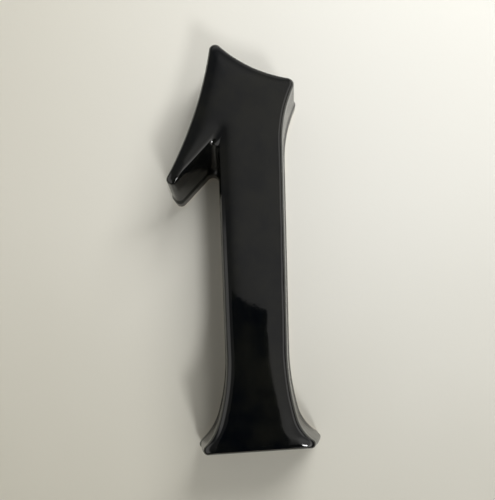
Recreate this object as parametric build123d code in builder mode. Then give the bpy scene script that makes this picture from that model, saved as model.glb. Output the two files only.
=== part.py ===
from build123d import *
import math
import os

os.makedirs("parts", exist_ok=True)

# Millimetres. X to the reader's right, Z up the numeral, the face looks along -Y and
# the rim of the open back lies in the plane Y = 0. The origin is the middle of the
# rim under the foot. Reaches are measured sideways from the middle of the foot,
# rises upward from its underside and drops downward from the point on top.
height = 152.4
depth = 26  # wall to face
foot_reach_left = 25.9  # before its corners are rounded
foot_reach_right = 27.2
ankle_reach_left = 14.7  # where the foot's tight flare eases into a long one
ankle_reach_right = 14.8
ankle_rise_left = 12.9
ankle_rise_right = 12.2
waist_reach_left = 11.1  # stem's sides, where the flares start
waist_reach_right = 13.25
waist_rise = 33.5
shoulder_reach = 17.6  # stem's right side, where it starts to widen to the head
shoulder_drop = 44.9
head_reach = 25.1
head_drop = 19.4
point_reach = 8.9
point_overshoot = 4.1  # from the rounded point up to where its two sides would meet
notch_reach = 9.3
notch_drop = 44.7
flag_reach = 28.9
flag_drop = 56.1
tip_width = 3.2
tip_height = 4.6
top_sweep = 50  # radius of the hollowed slope on top
flag_sweep = 158.5  # radius of the flag's hollowed outer edge

wall = 4.5  # behind the flat face
rim_width = 5
rim_height = 5  # band at the wall that stands a little proud
rim_step = 0.25
hollow_corner = 2  # rounding of the hollow's corners, seen from the back
roof_rounding = 3  # between the hollow's sides and the back of the face
draft = 3.5  # degrees, the sides narrow toward the face
edge_radius = 2.6  # rounding between the sides and the face
edge_steps = 3

slope = math.tan(math.radians(draft))
shoulder = depth - edge_radius
shoulder_inset = rim_step + slope * shoulder
face_inset = shoulder_inset + edge_radius
roof_inset = rim_step + slope * (depth - wall)
foot = -rim_width / 2
top = foot + height

# Corner of the outline: its place at the wall, how far it moves for each millimetre
# that the outline is set in, and its rounding at the wall and at the face.
corners = {
    "foot left": (Vector(-foot_reach_left, foot), Vector(2.2, 1), 1.4, 1.8),
    "foot right": (Vector(foot_reach_right, foot), Vector(-1.2, 1), 1.4, 1.6),
    "ankle left": (Vector(-ankle_reach_left, foot + ankle_rise_left), Vector(0.95, -0.31), 0, 0),
    "ankle right": (Vector(ankle_reach_right, foot + ankle_rise_right), Vector(-0.97, -0.26), 0, 0),
    "waist left": (Vector(-waist_reach_left, foot + waist_rise), Vector(1, -0.02), 0, 0),
    "waist right": (Vector(waist_reach_right, foot + waist_rise), Vector(-1, 0.06), 0, 0),
    "shoulder right": (Vector(shoulder_reach, top - shoulder_drop), Vector(-1, 0.06), 0, 0),
    "head right": (Vector(head_reach, top - head_drop), Vector(-1.15, -0.7), 2.4, 2.4),
    "point": (Vector(-point_reach, top + point_overshoot), Vector(0.62, -2.89), 2.4, 2),
    "tip upper": (Vector(-flag_reach, top - flag_drop), Vector(0.75, 0.2), 2.2, 0.8),
    "tip lower": (
        Vector(tip_width - flag_reach, top - flag_drop - tip_height), Vector(0.6, 1.69), 2.2, 0.8
    ),
    "notch": (Vector(-notch_reach, top - notch_drop), Vector(1.04, 2.34), 2.6, 1.2),
}
# These corners fall back further than the others in the rounded edge.
recess = {
    "foot right": Vector(-1.4, 0),
    "tip upper": Vector(2.03, 2.54),
    "tip lower": Vector(1.59, 1.54),
}

def outline(inset, rounded=True):
    at = {name: place + shift * inset for name, (place, shift, _, _) in corners.items()}
    for name, shift in recess.items():
        at[name] += shift * max(inset - shoulder_inset, 0)
    with BuildSketch() as shape:
        with BuildLine():
            Line(at["foot left"], at["foot right"])
            right = Line(at["waist right"], at["shoulder right"])
            right_flare = TangentArc(at["waist right"], at["ankle right"], tangent=-(right % 0))
            TangentArc(at["ankle right"], at["foot right"], tangent=right_flare % 1)
            TangentArc(at["shoulder right"], at["head right"], tangent=right % 1)
            RadiusArc(at["head right"], at["point"], top_sweep + inset)
            RadiusArc(at["point"], at["tip upper"], flag_sweep + inset)
            Line(at["tip upper"], at["tip lower"])
            Line(at["tip lower"], at["notch"])
            left = Line(at["notch"], at["waist left"])
            left_flare = TangentArc(at["waist left"], at["ankle left"], tangent=left % 1)
            TangentArc(at["ankle left"], at["foot left"], tangent=left_flare % 1)
        make_face()
        for name, (_, _, at_wall, at_face) in corners.items():
            if at_wall and (rounded or name == "notch"):
                corner = shape.vertices().sort_by_distance(at[name])[0]
                fillet(corner, at_wall + (at_face - at_wall) * inset / face_inset)
    return shape.sketch

with BuildPart() as house_number:
    # drafted sides
    for level, inset in ((0, rim_step), (shoulder, shoulder_inset)):
        with BuildSketch(Plane.XZ.offset(level)):
            add(outline(inset))
    loft(ruled=True)
    # rounded edge, turning from the sides into the flat face
    for step in range(edge_steps + 1):
        turn = math.radians(90 * step / edge_steps)
        with BuildSketch(Plane.XZ.offset(shoulder + edge_radius * math.sin(turn))):
            add(outline(shoulder_inset + edge_radius * (1 - math.cos(turn))))
    loft()
    # rim band
    with BuildSketch(Plane.XZ):
        add(outline(0))
    extrude(amount=rim_height)
    # open hollow back
    with BuildSketch(Plane.XZ):
        add(outline(roof_inset, rounded=False))
        offset(amount=roof_inset - rim_width - hollow_corner, mode=Mode.REPLACE)
        offset(amount=hollow_corner, mode=Mode.REPLACE)
    extrude(amount=depth - wall, mode=Mode.SUBTRACT)
    roof = house_number.faces().filter_by(Plane.XZ).sort_by(Axis.Y)[1]
    fillet(roof.edges(), roof_rounding)

house_number.part.label = "house_number"
export_step(house_number.part, "parts/house_number.step")
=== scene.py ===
import math

import bmesh
import bpy
from mathutils import Matrix, Vector
from mathutils.geometry import delaunay_2d_cdt


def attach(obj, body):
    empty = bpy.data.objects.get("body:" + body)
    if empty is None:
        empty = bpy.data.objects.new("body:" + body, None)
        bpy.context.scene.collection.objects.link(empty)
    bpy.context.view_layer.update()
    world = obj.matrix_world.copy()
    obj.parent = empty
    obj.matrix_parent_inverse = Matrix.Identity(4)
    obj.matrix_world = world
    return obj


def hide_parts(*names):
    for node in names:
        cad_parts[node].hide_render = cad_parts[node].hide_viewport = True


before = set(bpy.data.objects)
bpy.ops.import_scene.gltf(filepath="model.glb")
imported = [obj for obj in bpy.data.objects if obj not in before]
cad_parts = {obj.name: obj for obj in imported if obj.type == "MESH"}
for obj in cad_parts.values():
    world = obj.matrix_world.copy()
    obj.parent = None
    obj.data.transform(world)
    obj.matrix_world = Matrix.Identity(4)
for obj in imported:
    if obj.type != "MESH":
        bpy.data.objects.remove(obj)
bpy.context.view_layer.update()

MM = 0.001  # metres
GLAZE, BODY = 0, 1  # the casting's material slots

# The numeral's sizes are in millimetres: x to the reader's right, z up, and level away from
# the wall. An inset is measured inward from the outline at the wall.
RIM_STEP, RIM_WIDTH, RIM_HEIGHT, RIM_ROUNDING = 0.25, 5, 3, 0.3
RIM_EASE = (4.2, 6.8)  # levels between which the rim eases into the side
FOOT = -RIM_WIDTH / 2
TOP = FOOT + 152.4
DEPTH, EDGE_RADIUS = 26, 2.6
DRAFT = 3.5  # degrees
SLOPE = math.tan(math.radians(DRAFT))
SHOULDER = DEPTH - EDGE_RADIUS
SHOULDER_INSET = RIM_STEP + SLOPE * SHOULDER
FACE_INSET = SHOULDER_INSET + EDGE_RADIUS
HOLLOW_DEPTH, ROOF_ROUNDING = 21.5, 3
ROOF_INSET = RIM_STEP + SLOPE * HOLLOW_DEPTH
HOLLOW_CORNER, LEAST_HOLLOW_CORNER = 2, 0.5
HOLLOW_LIP = [(0.25, 0), (0.07, 0.07), (0, 0.3)]  # distance into the rim, level
CROWN_TILT, CROWN_REACH = 10, 1.7  # the face falls off by so many degrees, this near its edge
HEAD_RADIUS, FLAG_RADIUS = 50, 158.5  # hollow top of the head, hollow outer side of the flag

# Corner: place at the wall, move per millimetre of inset, rounding at the wall and at the face.
CORNERS = {
    "foot right": ((27.2, FOOT), (-1.2, 1), 1.4, 1.6),
    "ankle right": ((14.8, FOOT + 12.2), (-0.97, -0.26), 0, 0),
    "waist right": ((13.25, FOOT + 33.5), (-1, 0.06), 0, 0),
    "shoulder right": ((17.6, TOP - 44.9), (-1, 0.06), 0, 0),
    "head right": ((25.1, TOP - 19.4), (-1.15, -0.7), 2.4, 2.4),
    "point": ((-8.9, TOP + 4.1), (0.62, -2.89), 2.4, 2),
    "tip upper": ((-28.9, TOP - 56.1), (0.75, 0.2), 2.2, 0.8),
    "tip lower": ((-25.7, TOP - 60.7), (0.6, 1.69), 2.2, 0.8),
    "notch": ((-9.3, TOP - 44.7), (1.04, 2.34), 2.6, 1.2),
    "waist left": ((-11.1, FOOT + 33.5), (1, -0.02), 0, 0),
    "ankle left": ((-14.7, FOOT + 12.9), (0.95, -0.31), 0, 0),
    "foot left": ((-25.9, FOOT), (2.2, 1), 1.4, 1.8),
}
# These corners fall back further than the others in the rounded edge.
RECESS = {"foot right": (-1.4, 0), "tip upper": (2.03, 2.54), "tip lower": (1.59, 1.54)}

TOES = [((22, -1.2), (1.7, -0.7)), ((-21.5, -1.3), (-0.8, -0.4))]  # tip, how far it swells
TOE_LEVEL, TOE_RISE, TOE_FALL, TOE_REACH = 3.5, 4, 9, 3.5

# Points along the side that ends at each corner, and round each corner.
COUNTS = {
    "foot right": 60, "ankle right": 16, "waist right": 24, "shoulder right": 72,
    "head right": 30, "point": 50, "tip upper": 60, "tip lower": 4, "notch": 24,
    "waist left": 72, "ankle left": 24, "foot left": 16,
}
CORNER_COUNT = 12
LEAST_HOLLOW_COUNT = 8
RIM_STEPS, EDGE_STEPS, ROOF_STEPS = 12, 16, 8
RIM_TURNS = (0, 0.4, 0.8, 1.2, 1.57)  # radians round the rim's border at the wall
SIDE_LEVELS = (8, 11, 14, 17, 20, 22, 23)
HOLLOW_LEVELS = (6, 12)
FACE_GRID, ROOF_GRID = 1.0, 4
ROW_PITCH = 0.866  # height of a triangle whose sides are 1
BORDER_GAP = 0.45  # share of the grid that stays free of points along a border
TOLERANCE = 1e-5


class Line:
    def __init__(self, a, b):
        self.a, self.b = a, b
        self.way = (b - a).normalized()
        self.left = Vector((-self.way.y, self.way.x))

    def beside(self, gap):
        return Line(self.a + self.left * gap, self.b + self.left * gap)

    def foot_of(self, p):
        return self.a + self.way * (p - self.a).dot(self.way)

    def between(self, p, q, count):
        return [p.lerp(q, k / count) for k in range(count)]


class Arc:
    """A hollow side: its centre lies outside the numeral, on the right of the way it runs."""

    def __init__(self, centre, radius):
        self.centre, self.radius = centre, radius

    def beside(self, gap):
        return Arc(self.centre, self.radius + gap)

    def foot_of(self, p):
        return self.centre + (p - self.centre).normalized() * self.radius

    def between(self, p, q, count):
        start = math.atan2(*(p - self.centre).yx)
        turn = math.atan2(*(q - self.centre).yx) - start
        turn -= round(turn / math.tau) * math.tau
        points = []
        for k in range(count):
            angle = start + turn * k / count
            points.append(self.centre + self.radius * Vector((math.cos(angle), math.sin(angle))))
        return points


def arc_by_radius(a, b, radius):
    half = (b - a) / 2
    right = Vector((half.y, -half.x)).normalized()
    return Arc(a + half + right * math.sqrt(radius**2 - half.length_squared), radius)


def arc_by_tangent(a, b, way):
    """Arc from a to b that leaves a along way, and its direction at b."""
    chord = b - a
    across = Vector((-way.y, way.x))
    radius = chord.length_squared / (2 * chord.dot(across))
    arc = Arc(a + across * radius, abs(radius))
    return arc, chord * (2 * chord.dot(way) / chord.length_squared) - way


def cross(a, b):
    return a.x * b.y - a.y * b.x


def meet(one, other, near):
    """Where two sides cross, next to the given point."""
    if isinstance(one, Line) and isinstance(other, Line):
        return one.a + one.way * (cross(other.a - one.a, other.way) / cross(one.way, other.way))
    if isinstance(one, Arc) and isinstance(other, Arc):
        gap = other.centre - one.centre
        along = (one.radius**2 - other.radius**2 + gap.length_squared) / (2 * gap.length)
        middle = one.centre + gap.normalized() * along
        half = math.sqrt(one.radius**2 - along**2)
        side = Vector((-gap.y, gap.x)).normalized() * half
    else:
        line, arc = (one, other) if isinstance(one, Line) else (other, one)
        middle = line.foot_of(arc.centre)
        side = line.way * math.sqrt(arc.radius**2 - (middle - arc.centre).length_squared)
    return min((middle + side, middle - side), key=lambda p: (p - near).length)


def rounded(sides, counts):
    """Points round a closed chain of sides. Each side comes with the rounding at its far
    end, positive on an outer corner, negative in a notch, and 0 where sides run on."""
    fillets = []
    for k, (side, rounding, corner) in enumerate(sides):
        after = sides[(k + 1) % len(sides)][0]
        if rounding:
            centre = meet(side.beside(rounding), after.beside(rounding), corner)
            fillets.append((side.foot_of(centre), after.foot_of(centre), centre))
        else:
            fillets.append((corner, corner, None))
    points = []
    for k, (side, rounding, _) in enumerate(sides):
        start, (end, leave, centre) = fillets[k - 1][1], fillets[k]
        points += side.between(start, end, counts[k])
        if centre:
            points += Arc(centre, abs(rounding)).between(end, leave, CORNER_COUNT)
    return points


def corners_at(inset):
    """The outline's sharp corners, by name."""
    at = {}
    for name, (place, move, _, _) in CORNERS.items():
        at[name] = Vector(place) + Vector(move) * inset
    for name, recess in RECESS.items():
        at[name] += Vector(recess) * max(inset - SHOULDER_INSET, 0)
    return at


def sides_at(at, inset):
    """The sides in order, each by the name of the corner where it ends."""
    right = Line(at["waist right"], at["shoulder right"])
    left = Line(at["notch"], at["waist left"])
    flare_right, way = arc_by_tangent(at["waist right"], at["ankle right"], -right.way)
    toe_right, _ = arc_by_tangent(at["ankle right"], at["foot right"], way)
    head_side, _ = arc_by_tangent(at["shoulder right"], at["head right"], right.way)
    flare_left, way = arc_by_tangent(at["waist left"], at["ankle left"], left.way)
    toe_left, _ = arc_by_tangent(at["ankle left"], at["foot left"], way)
    return {
        "foot right": Line(at["foot left"], at["foot right"]),
        "ankle right": toe_right,
        "waist right": flare_right,
        "shoulder right": right,
        "head right": head_side,
        "point": arc_by_radius(at["head right"], at["point"], HEAD_RADIUS + inset),
        "tip upper": arc_by_radius(at["point"], at["tip upper"], FLAG_RADIUS + inset),
        "tip lower": Line(at["tip upper"], at["tip lower"]),
        "notch": Line(at["tip lower"], at["notch"]),
        "waist left": left,
        "ankle left": flare_left,
        "foot left": toe_left,
    }


def rounding_at(name, inset):
    _, _, at_wall, at_face = CORNERS[name]
    rounding = at_wall + (at_face - at_wall) * min(inset / FACE_INSET, 1)
    return -rounding if name == "notch" else rounding


def outline(inset):
    at = corners_at(inset)
    sides = sides_at(at, inset)
    chain = [(sides[name], rounding_at(name, inset), at[name]) for name in sides]
    return rounded(chain, list(COUNTS.values()))


def hollow_outline(gap):
    """The hollow's edge, gap inside the wall outline. Its corners grow sharper as the roof
    closes in, and the short side at the flag's tip is lost in it."""
    rounding = max(HOLLOW_CORNER - (gap - RIM_WIDTH) / 2, LEAST_HOLLOW_CORNER)
    at = corners_at(ROOF_INSET)
    sides = sides_at(at, ROOF_INSET)
    del sides["tip lower"]
    sides = {name: side.beside(gap - ROOF_INSET) for name, side in sides.items()}
    names = list(sides)
    chain = []
    for name, after in zip(names, names[1:] + names[:1]):
        if CORNERS[name][2] == 0:
            straight = name if isinstance(sides[name], Line) else after
            chain.append((sides[name], 0, sides[straight].foot_of(at[name])))
        elif name == "notch":
            turn = rounding_at(name, ROOF_INSET) - (gap - ROOF_INSET)
            chain.append((sides[name], turn, meet(sides[name], sides[after], at[name])))
        else:
            chain.append((sides[name], rounding, meet(sides[name], sides[after], at[name])))
    return rounded(chain, [max(COUNTS[name] // 2, LEAST_HOLLOW_COUNT) for name in names])


def smooth(share):
    share = min(max(share, 0), 1)
    return share * share * (3 - 2 * share)


def outer_section():
    """Inset and level of the rings from the wall to the flat face."""
    rings = []
    for turn in RIM_TURNS:
        inset = RIM_ROUNDING - RIM_ROUNDING * math.sin(turn)
        rings.append((inset, RIM_ROUNDING - RIM_ROUNDING * math.cos(turn)))
    rings += [(0, RIM_HEIGHT / 2), (0, RIM_HEIGHT)]
    low, high = RIM_EASE
    for k in range(RIM_STEPS + 1):
        share = k / RIM_STEPS
        rings.append(((RIM_STEP + SLOPE * high) * smooth(share), low + (high - low) * share))
    for level in SIDE_LEVELS:
        rings.append((RIM_STEP + SLOPE * level, level))
    for k in range(EDGE_STEPS + 1):  # rounded edge, up to where the face's crown takes over
        turn = math.radians(DRAFT + (90 - CROWN_TILT - DRAFT) * k / EDGE_STEPS)
        inset = FACE_INSET - EDGE_RADIUS * math.cos(turn)
        rings.append((inset, SHOULDER + EDGE_RADIUS * math.sin(turn)))
    return rings


def hollow_section():
    """Gap to the wall outline and level, from the rim into the hollow."""
    rings = [(RIM_WIDTH - back, level) for back, level in HOLLOW_LIP]
    rings += [(RIM_WIDTH, level) for level in HOLLOW_LEVELS]
    for k in range(ROOF_STEPS + 1):
        turn = math.radians(90 * k / ROOF_STEPS)
        gap = RIM_WIDTH + ROOF_ROUNDING * (1 - math.cos(turn))
        rings.append((gap, HOLLOW_DEPTH - ROOF_ROUNDING * (1 - math.sin(turn))))
    return rings


def full_toes(points, level):
    """The foot's two toes swell between the rim and the face, each into one round lobe."""
    swell = smooth((level - TOE_LEVEL) / TOE_RISE) * smooth((DEPTH - level) / TOE_FALL)
    moved = []
    for p in points:
        for tip, push in TOES:
            distance = (p - Vector(tip)).length / TOE_REACH
            p = p + Vector(push) * swell * math.exp(-distance**2)
        moved.append(p)
    return moved


def crown(gap):
    fall = CROWN_REACH * math.tan(math.radians(CROWN_TILT))
    return fall * (1 - math.exp(-gap / CROWN_REACH))


def no_lift(gap):
    return 0


def ring(mesh, points, level):
    return [mesh.verts.new((p.x * MM, -level * MM, p.y * MM)) for p in points]


def bridge(mesh, low, high, material):
    for k in range(len(low)):
        face = mesh.faces.new((low[k - 1], low[k], high[k], high[k - 1]))
        face.material_index = material
        face.smooth = True


def inside(p, polygon):
    """Whether a line from p to the right crosses the polygon an odd number of times."""
    within = False
    for a, b in zip(polygon, polygon[1:] + polygon[:1]):
        if (a.y > p.y) != (b.y > p.y) and p.x < a.x + (p.y - a.y) * (b.x - a.x) / (b.y - a.y):
            within = not within
    return within


def gap_to(p, polygon):
    gaps = []
    for a, b in zip(polygon, polygon[1:] + polygon[:1]):
        way = b - a
        share = max(0, min(1, (p - a).dot(way) / way.length_squared))
        gaps.append((a + way * share - p).length)
    return min(gaps)


def grid_within(polygon, step):
    """Points of a triangular grid inside a polygon, and how far each is from its border."""
    left, right = min(p.x for p in polygon), max(p.x for p in polygon)
    bottom, top = min(p.y for p in polygon), max(p.y for p in polygon)
    points, gaps = [], []
    for row in range(int((top - bottom) / (step * ROW_PITCH))):
        z = bottom + (row + 0.5) * step * ROW_PITCH
        for column in range(int((right - left) / step) + 1):
            p = Vector((left + (column + 0.5 * (row % 2)) * step, z))
            if not inside(p, polygon):
                continue
            gap = gap_to(p, polygon)
            if gap > step * BORDER_GAP:
                points.append(p)
                gaps.append(gap)
    return points, gaps


def cap(mesh, border, level, material, hole=None, lift=no_lift, step=0, flip=False):
    """Fills a ring of vertices, less an optional inner ring. With a step, a grid of points
    that far apart goes in between, each raised by lift of its gap to the border."""
    loops = [border] + ([hole] if hole else [])
    flat = [Vector((v.co.x, v.co.z)) / MM for loop in loops for v in loop]
    edges, first = [], 0
    for loop in loops:
        edges += [(first + k, first + (k + 1) % len(loop)) for k in range(len(loop))]
        first += len(loop)
    polygon, inner = flat[:len(border)], flat[len(border):]
    extra, gaps = grid_within(polygon, step) if step else ([], [])
    points, _, faces, source, _, _ = delaunay_2d_cdt(flat + extra, edges, [], 0, TOLERANCE)
    rings = [v for loop in loops for v in loop]
    made = []
    for k, p in enumerate(points):
        origin = source[k][0] if source[k] else -1
        if 0 <= origin < len(rings):
            made.append(rings[origin])
        else:
            out = level + lift(gaps[origin - len(rings)])
            made.append(mesh.verts.new((p.x * MM, -out * MM, p.y * MM)))
    for corners in faces:
        middle = sum((points[k] for k in corners), Vector((0, 0))) / len(corners)
        if not inside(middle, polygon) or (inner and inside(middle, inner)):
            continue
        order = corners if flip else corners[::-1]
        face = mesh.faces.new([made[k] for k in order])
        face.material_index = material
        face.smooth = True


def numeral_mesh():
    mesh = bmesh.new()
    section = outer_section()
    outer = [ring(mesh, full_toes(outline(inset), level), level) for inset, level in section]
    for low, high in zip(outer, outer[1:]):
        bridge(mesh, low, high, GLAZE)
    cap(mesh, outer[-1], section[-1][1], GLAZE, lift=crown, step=FACE_GRID)
    hollow = [ring(mesh, hollow_outline(gap), level) for gap, level in hollow_section()]
    for low, high in zip(hollow, hollow[1:]):
        bridge(mesh, high, low, BODY)
    cap(mesh, outer[0], 0, BODY, hole=hollow[0], flip=True)
    cap(mesh, hollow[-1], HOLLOW_DEPTH, BODY, step=ROOF_GRID, flip=True)
    bmesh.ops.recalc_face_normals(mesh, faces=mesh.faces)
    data = bpy.data.meshes.new("house_number_casting")
    mesh.to_mesh(data)
    mesh.free()
    return data


class Graph:
    """Short ways to add shader nodes."""

    def __init__(self, tree):
        self.nodes, self.links = tree.nodes, tree.links

    def node(self, kind, inputs=None, **settings):
        node = self.nodes.new("ShaderNode" + kind)
        for name, value in settings.items():
            setattr(node, name, value)
        self.feed(node, inputs or {})
        return node

    def feed(self, node, inputs):
        for name, value in inputs.items():
            if isinstance(value, bpy.types.NodeSocket):
                self.links.new(value, node.inputs[name])
            else:
                node.inputs[name].default_value = value

    def math(self, operation, a, b=0.0):
        return self.node("Math", {0: a, 1: b}, operation=operation).outputs[0]

    def times(self, a, b):
        return self.math("MULTIPLY", a, b)

    def plus(self, a, b):
        return self.math("ADD", a, b)

    def ease(self, value, low, high, at_low=0.0, at_high=1.0):
        sockets = {
            "Value": value, "From Min": low, "From Max": high,
            "To Min": at_low, "To Max": at_high,
        }
        return self.node("MapRange", sockets, interpolation_type="SMOOTHSTEP").outputs[0]

    def noise(self, vector, scale, detail=2.0, roughness=0.5):
        sockets = {"Vector": vector, "Scale": scale, "Detail": detail, "Roughness": roughness}
        return self.node("TexNoise", sockets).outputs[0]

    def blend(self, share, a, b):
        node = self.node("Mix", {0: share}, data_type="RGBA")
        self.feed(node, {6: a, 7: b})
        return node.outputs[2]

    def bump(self, height, distance, strength=1.0, under=None):
        sockets = {"Height": height, "Distance": distance, "Strength": strength}
        if under:
            sockets["Normal"] = under
        return self.node("Bump", sockets).outputs[0]

    def place(self):
        return self.node("TexCoord").outputs["Object"]

    def parts(self, vector):
        return self.node("SeparateXYZ", {0: vector}).outputs

    def ray(self, kind):
        return self.node("LightPath").outputs[f"Is {kind} Ray"]


def new_material(name):
    material = bpy.data.materials.new(name)
    material.use_nodes = True
    return material, Graph(material.node_tree), material.node_tree.nodes["Principled BSDF"]


POOLED_BLACK, SMEARED_BLACK = (0.0005, 0.0011, 0.0022, 1), (0.0062, 0.0064, 0.0050, 1)
THIN_BROWN = (0.060, 0.034, 0.018, 1)
EDGE_CLAYS = (0.50, 0.43, 0.34, 1), (0.66, 0.58, 0.48, 1)
BARE_CLAYS = (0.52, 0.45, 0.37, 1), (0.68, 0.61, 0.52, 1)
SPECK = (0.30, 0.22, 0.15, 1)
GLAZE_LINE = (0.15 * MM, 0.7 * MM)  # the glaze begins between these levels
THIN_GLAZE = (0.3 * MM, 1.6 * MM)  # and is black from the second of these on
RAGGED = 1.2 * MM
ROUGHER_SIDES = (20.5 * MM, 23.5 * MM, 0.13, 0)  # levels, and roughness added at each
POOLED_ROUGHNESS, SMEARED_ROUGHNESS, CLAY_ROUGHNESS = 0.03, 0.09, 0.8
RIPPLES = (25.2 * MM, 25.9 * MM, 1, 0)


def glaze():
    """Black glaze, a little wavy and orange-peeled, thinning to brown at the wall."""
    material, g, shader = new_material("black_glaze")
    place = g.place()
    level = g.times(g.parts(place)["Y"], -1.0)
    ragged = g.times(g.math("SUBTRACT", g.noise(place, scale=260, detail=3), 0.5), RAGGED)
    cover = g.ease(g.plus(level, ragged), *GLAZE_LINE)
    smears = g.ease(g.noise(place, scale=60, detail=5, roughness=0.65), 0.32, 0.68)
    black = g.blend(smears, POOLED_BLACK, SMEARED_BLACK)
    glazed = g.blend(g.ease(level, *THIN_GLAZE), THIN_BROWN, black)
    clay = g.blend(g.noise(place, scale=900, detail=2), *EDGE_CLAYS)
    roughness = g.ease(smears, 0, 1, POOLED_ROUGHNESS, SMEARED_ROUGHNESS)
    roughness = g.plus(roughness, g.ease(level, *ROUGHER_SIDES))
    waves = g.bump(g.noise(place, scale=28, detail=1), distance=0.9 * MM)
    rippled = g.times(g.noise(place, scale=130, detail=1), g.ease(level, *RIPPLES))
    ripples = g.bump(rippled, distance=0.2 * MM, under=waves)
    pitted = g.noise(place, scale=420, detail=2)
    orange_peel = g.bump(pitted, distance=0.02 * MM, strength=0.35, under=ripples)
    g.feed(shader, {
        "Base Color": g.blend(cover, clay, glazed),
        "Roughness": g.ease(cover, 0, 1, CLAY_ROUGHNESS, roughness),
        "IOR": 1.52,
        "Normal": orange_peel,
    })
    return material


def bisque():
    """Bare fired body, inside and on the rim against the wall."""
    material, g, shader = new_material("bare_body")
    place = g.place()
    cloudy = g.blend(g.noise(place, scale=90, detail=4, roughness=0.6), *BARE_CLAYS)
    specks = g.ease(g.noise(place, scale=1500, detail=2, roughness=0.6), 0.66, 0.72)
    grain = g.noise(place, scale=1100, detail=3, roughness=0.6)
    g.feed(shader, {
        "Base Color": g.blend(specks, cloudy, SPECK),
        "Roughness": g.ease(g.noise(place, scale=300, detail=3), 0.3, 0.7, 0.75, 0.95),
        "Normal": g.bump(grain, distance=0.12 * MM, strength=0.5),
    })
    return material


def add_object(name, data):
    obj = bpy.data.objects.new(name, data)
    bpy.context.scene.collection.objects.link(obj)
    return obj


def add_casting():
    casting = add_object("house_number_glazed", numeral_mesh())
    casting.data.materials.append(glaze())
    casting.data.materials.append(bisque())
    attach(casting, "root")
    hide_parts("house_number")


# The stage is in metres.
REACH, FLOOR = 6.0, -0.90
WALL_GAP = 0.0003  # behind the casting's back
WALL_HOLE_INSET = 1.2  # millimetres: the wall is open behind the casting, as its back is
# The wall's paint with painted shade and painted light: its colour at left and right, low down
# and high up, and where it changes. It is painted darker low down and to the left as painted
# shade, and lighter up and to the right as painted light.
WALL_PAINTED_SHADE_LOW = (0.58, 0.555, 0.46, 1), (0.60, 0.58, 0.50, 1)
WALL_PAINTED_LIGHT_HIGH = (0.76, 0.735, 0.645, 1), (0.82, 0.81, 0.755, 1)
PAINTED_SHADE_CLIMB, PAINTED_SHADE_CROSS, PAINTED_SHADE_DRIFT = (-0.08, 0.13), (-0.13, 0.07), 0.04
FLOOR_COLOUR, FLOOR_SEEN = (0.78, 0.77, 0.73, 1), (0.66, 0.65, 0.61, 1)
FLOOR_LIFT = 0.9
CARD_COLOUR = (0.012, 0.014, 0.018, 1)
CARD_Y = -0.1965
CARD = [
    (-0.060, 0.064), (0.0095, 0.053), (0.0095, 0.040), (0.0125, 0.030),
    (0.0130, 0.004), (0.0200, -0.033), (0.0200, -0.14), (-0.060, -0.14),
]


def wall_paint_and_painted_shade():
    """Pale paint with painted shade, darker low down and to the left, and painted light,
    lightest up and to the right; it isn't seen from behind.
    """
    material, g, shader = new_material("wall_paint_and_painted_shade")
    place = g.place()
    x, _, z = g.parts(place)
    # Painted shade and painted light: the paint darkens low down and to the left and lightens up
    # and to the right, along a wavy border.
    painted_shade_drift = g.times(g.noise(place, scale=14, detail=2), PAINTED_SHADE_DRIFT)
    height = g.ease(g.plus(z, painted_shade_drift), *PAINTED_SHADE_CLIMB)
    across = g.ease(x, *PAINTED_SHADE_CROSS)
    g.feed(shader, {
        "Base Color": g.blend(height, g.blend(across, *WALL_PAINTED_SHADE_LOW), g.blend(across, *WALL_PAINTED_LIGHT_HIGH)),
        "Roughness": 0.8,
        "Specular IOR Level": 0.2,
        "Normal": g.bump(g.noise(place, scale=500, detail=2), distance=0.1 * MM, strength=0.25),
    })
    one_sided = g.node("MixShader", {
        0: g.node("NewGeometry").outputs["Backfacing"],
        1: shader.outputs[0],
        2: g.node("BsdfTransparent").outputs[0],
    })
    g.feed(g.nodes["Material Output"], {"Surface": one_sided.outputs[0]})
    return material


def floor_paint():
    """Pale paint, lifted a little for the camera."""
    material, g, shader = new_material("floor_paint")
    g.feed(shader, {
        "Base Color": FLOOR_COLOUR,
        "Roughness": 0.9,
        "Specular IOR Level": 0.0,
        "Emission Color": FLOOR_SEEN,
        "Emission Strength": g.ease(g.ray("Camera"), 0, 1, 0, FLOOR_LIFT),
    })
    return material


def card_black():
    material, g, shader = new_material("card_black")
    g.feed(shader, {"Base Color": CARD_COLOUR, "Roughness": 0.9})
    return material


def wall_mesh():
    mesh = bmesh.new()
    hole = ring(mesh, outline(WALL_HOLE_INSET), 0)
    corners = ((-REACH, FLOOR), (REACH, FLOOR), (REACH, REACH), (-REACH, REACH))
    border = ring(mesh, [Vector(p) / MM for p in corners], 0)
    cap(mesh, border, 0, 0, hole=hole)
    for face in mesh.faces:
        face.normal_update()
        if face.normal.y > 0:
            face.normal_flip()
    data = bpy.data.meshes.new("wall")
    mesh.to_mesh(data)
    mesh.free()
    return data


def panel_mesh(name, corners):
    data = bpy.data.meshes.new(name)
    data.from_pydata(corners, [], [list(range(len(corners)))])
    return data


def add_stage(name, data, material):
    obj = add_object(name, data)
    data.materials.append(material)
    return obj


def add_stage_pieces():
    wall = add_stage("wall", wall_mesh(), wall_paint_and_painted_shade())
    wall.location.y = WALL_GAP
    square = ((-REACH, -REACH), (REACH, -REACH), (REACH, REACH), (-REACH, REACH))
    corners = [(x, y, FLOOR) for x, y in square]
    floor = add_stage("floor", panel_mesh("floor", corners), floor_paint())
    floor.visible_glossy = False
    # Dark card beside the lens, which only the glaze mirrors.
    corners = [(x, CARD_Y, z) for x, z in CARD]
    card = add_stage("dark_card", panel_mesh("dark_card", corners), card_black())
    card.visible_camera = card.visible_diffuse = False
    card.visible_shadow = card.visible_transmission = False


AIM = Vector((0, 0, 0.07))
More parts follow.
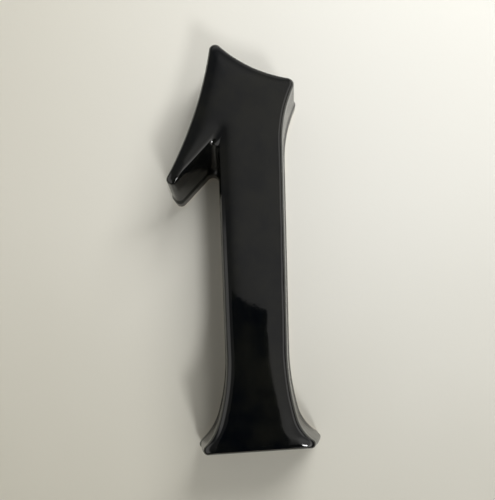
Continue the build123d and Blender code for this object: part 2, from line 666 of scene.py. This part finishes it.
# Lamp: place, side of its square in metres, power in watts, and whether the glaze mirrors it.
LAMPS = {
    "key": ((0.25, -0.70, -0.60), 0.16, 3.1, True),
    "window": ((0.25, -0.35, 0.42), 0.3, 2.5, False),
    "back_fill": ((0.3, 0.5, 0.3), 0.4, 3.0, True),
}


def add_lamps():
    for name, (place, side, power, mirrored) in LAMPS.items():
        data = bpy.data.lights.new(name, "AREA")
        data.shape = "RECTANGLE"
        data.size = data.size_y = side
        data.energy = power
        lamp = add_object(name, data)
        lamp.location = place
        lamp.rotation_euler = (AIM - Vector(place)).to_track_quat("-Z", "Y").to_euler()
        lamp.visible_glossy = mirrored


# Soft boxes by direction: left and right edge, low and high edge in degrees from straight
# in front of the wall, half the width of the soft border, and strength over the room's own.
SOFT_BOXES = [
    (-6, 38, -25, 45, 10, 0.36),
    (8, 60, -38, -12, 8, 0.6),
    (15, 60, -78, -34, 8, 1.5),
    (42, 64, -60, 45, 5, 1.1),
    (-75, -35, -50, 13, 6, 0.9),
    (-40, 120, 55, 89, 10, 0.5),
]
ROOM, ROOM_BELOW = 0.14, 0.02
ROOM_FADE = (-45, -8)  # degrees of elevation
AMBIENT, SEEN = 0.25, 0.8
WORLD_COLOUR = (1, 0.98, 0.94, 1)


def add_world():
    """The glaze mirrors a dim room with soft boxes, matt surfaces get a plain even light, and
    the camera sees a plain pale backdrop."""
    world = bpy.data.worlds.new("studio")
    bpy.context.scene.world = world
    world.use_nodes = True
    g = Graph(world.node_tree)
    x, y, z = g.parts(g.node("TexCoord").outputs["Generated"])
    to_degrees = math.degrees(1)
    azimuth = g.times(g.math("ARCTAN2", x, g.times(y, -1.0)), to_degrees)
    elevation = g.times(g.math("ARCSINE", z), to_degrees)

    def band(angle, low, high, soft):
        opens = g.ease(angle, low - soft, low + soft)
        closes = g.ease(angle, high - soft, high + soft, 1, 0)
        return g.times(opens, closes)

    glow = g.ease(elevation, *ROOM_FADE, ROOM_BELOW, ROOM)
    for left, right, low, high, soft, strength in SOFT_BOXES:
        box = g.times(band(azimuth, left, right, soft), band(elevation, low, high, soft))
        glow = g.plus(g.times(box, strength), glow)
    light = g.ease(g.ray("Glossy"), 0, 1, AMBIENT, glow)
    strength = g.ease(g.ray("Camera"), 0, 1, light, SEEN)
    g.feed(g.nodes["Background"], {"Color": WORLD_COLOUR, "Strength": strength})


PHOTO_WIDTH, FOCAL_LENGTH = 495, 490  # pixels
SENSOR_WIDTH = 36
CAMERA_PLACE = (0.0035, -0.1939, 0.03904)
# The wall's level, upright and inward directions by the camera's right, down and forward.
WALL_LEVEL = Vector((0.99957, -0.00465, -0.02883))
WALL_UPRIGHT = Vector((0, -0.98725, 0.15917))
WALL_INWARD = Vector((0.02920, 0.15910, 0.98683))
LEAN = math.radians(4)  # of the numeral on the wall


def add_camera():
    """At the photograph's viewing angle."""
    data = bpy.data.cameras.new("camera")
    camera = add_object("camera", data)
    data.sensor_fit = "HORIZONTAL"
    data.sensor_width = SENSOR_WIDTH
    data.lens = SENSOR_WIDTH * FOCAL_LENGTH / PHOTO_WIDTH
    data.clip_start = 0.01
    part_x = WALL_LEVEL * math.cos(LEAN) + WALL_UPRIGHT * math.sin(LEAN)
    part_z = WALL_UPRIGHT * math.cos(LEAN) - WALL_LEVEL * math.sin(LEAN)
    right, down, forward = [Vector((part_x[k], WALL_INWARD[k], part_z[k])) for k in range(3)]
    turn = Matrix((right, -down, -forward)).transposed()
    camera.matrix_world = Matrix.Translation(CAMERA_PLACE) @ turn.to_4x4()
    bpy.context.scene.camera = camera


add_casting()
add_stage_pieces()
add_lamps()
add_world()
add_camera()
bpy.context.scene.view_settings.view_transform = "Standard"
